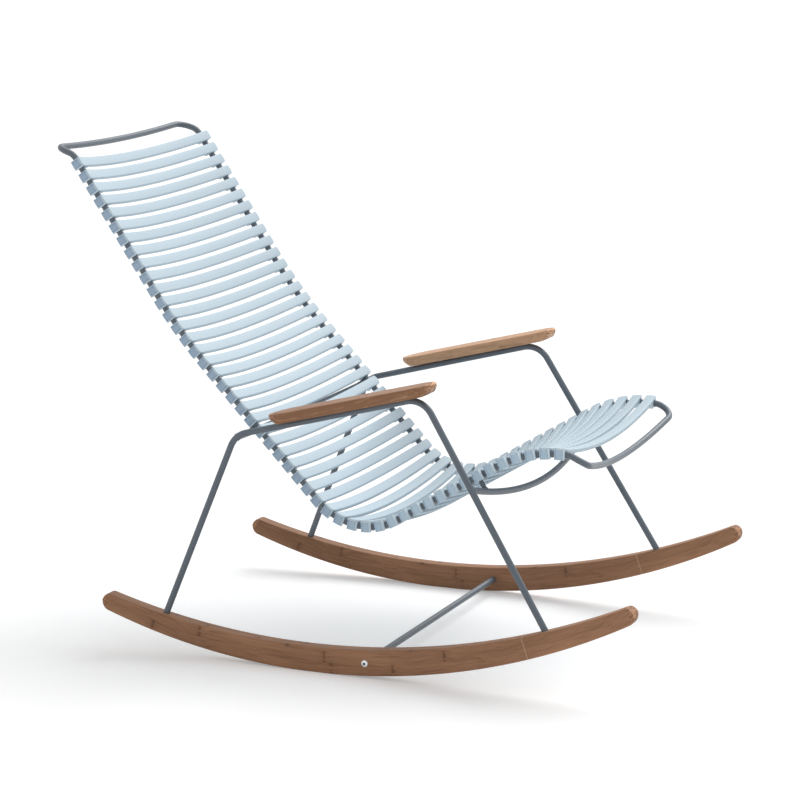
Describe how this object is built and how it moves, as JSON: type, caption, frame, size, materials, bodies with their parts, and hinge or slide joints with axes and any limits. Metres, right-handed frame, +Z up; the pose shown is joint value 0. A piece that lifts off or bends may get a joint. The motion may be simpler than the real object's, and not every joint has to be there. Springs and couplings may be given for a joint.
{
  "type": "rocking chair",
  "caption": "Slatted rocking chair with a bent steel tube frame, bowed plastic slats on one seat and back loop, and bamboo armrests and rockers.",
  "frame": {"origin": "On the floor, below the middle of the chair's overall length and width.", "axes": "+Z is up, the chair faces -Y and the sitter's left is +X. The two sides mirror each other across X = 0."},
  "size_m": [0.6324, 1.0732, 0.8485],
  "materials": {
    "steel_tube": "satin blue-grey powder coat",
    "slat_plastic": "satin pale blue-grey",
    "bamboo": "oiled laminated bamboo",
    "stainless_bolt": "satin"
  },
  "bodies": {
    "root": {"side_frame_left": "steel_tube", "side_frame_right": "steel_tube", "seat_frame": "steel_tube", "rear_crossbar": "steel_tube", "front_crossbar": "steel_tube", "rocker_bar": "steel_tube", "rocker_left": "bamboo", "rocker_right": "bamboo", "armrest_left": "bamboo", "armrest_right": "bamboo", "rocker_bolt_left": "stainless_bolt", "rocker_bolt_right": "stainless_bolt", "slat_01": "slat_plastic", "slat_02": "slat_plastic", "slat_03": "slat_plastic", "slat_04": "slat_plastic", "slat_05": "slat_plastic", "slat_06": "slat_plastic", "slat_07": "slat_plastic", "slat_08": "slat_plastic", "slat_09": "slat_plastic", "slat_10": "slat_plastic", "slat_11": "slat_plastic", "slat_12": "slat_plastic", "slat_13": "slat_plastic", "slat_14": "slat_plastic", "slat_15": "slat_plastic", "slat_16": "slat_plastic", "slat_17": "slat_plastic", "slat_18": "slat_plastic", "slat_19": "slat_plastic", "slat_20": "slat_plastic", "slat_21": "slat_plastic", "slat_22": "slat_plastic", "slat_23": "slat_plastic", "slat_24": "slat_plastic", "slat_25": "slat_plastic", "slat_26": "slat_plastic", "slat_27": "slat_plastic", "slat_28": "slat_plastic", "slat_29": "slat_plastic", "slat_30": "slat_plastic", "slat_31": "slat_plastic", "slat_32": "slat_plastic", "slat_33": "slat_plastic", "slat_34": "slat_plastic", "slat_35": "slat_plastic", "slat_36": "slat_plastic", "slat_37": "slat_plastic", "slat_38": "slat_plastic", "slat_39": "slat_plastic", "slat_40": "slat_plastic", "slat_41": "slat_plastic", "slat_42": "slat_plastic", "slat_43": "slat_plastic", "slat_44": "slat_plastic", "slat_45": "slat_plastic", "slat_46": "slat_plastic", "slat_47": "slat_plastic", "slat_48": "slat_plastic"}
  },
  "joints": []
}
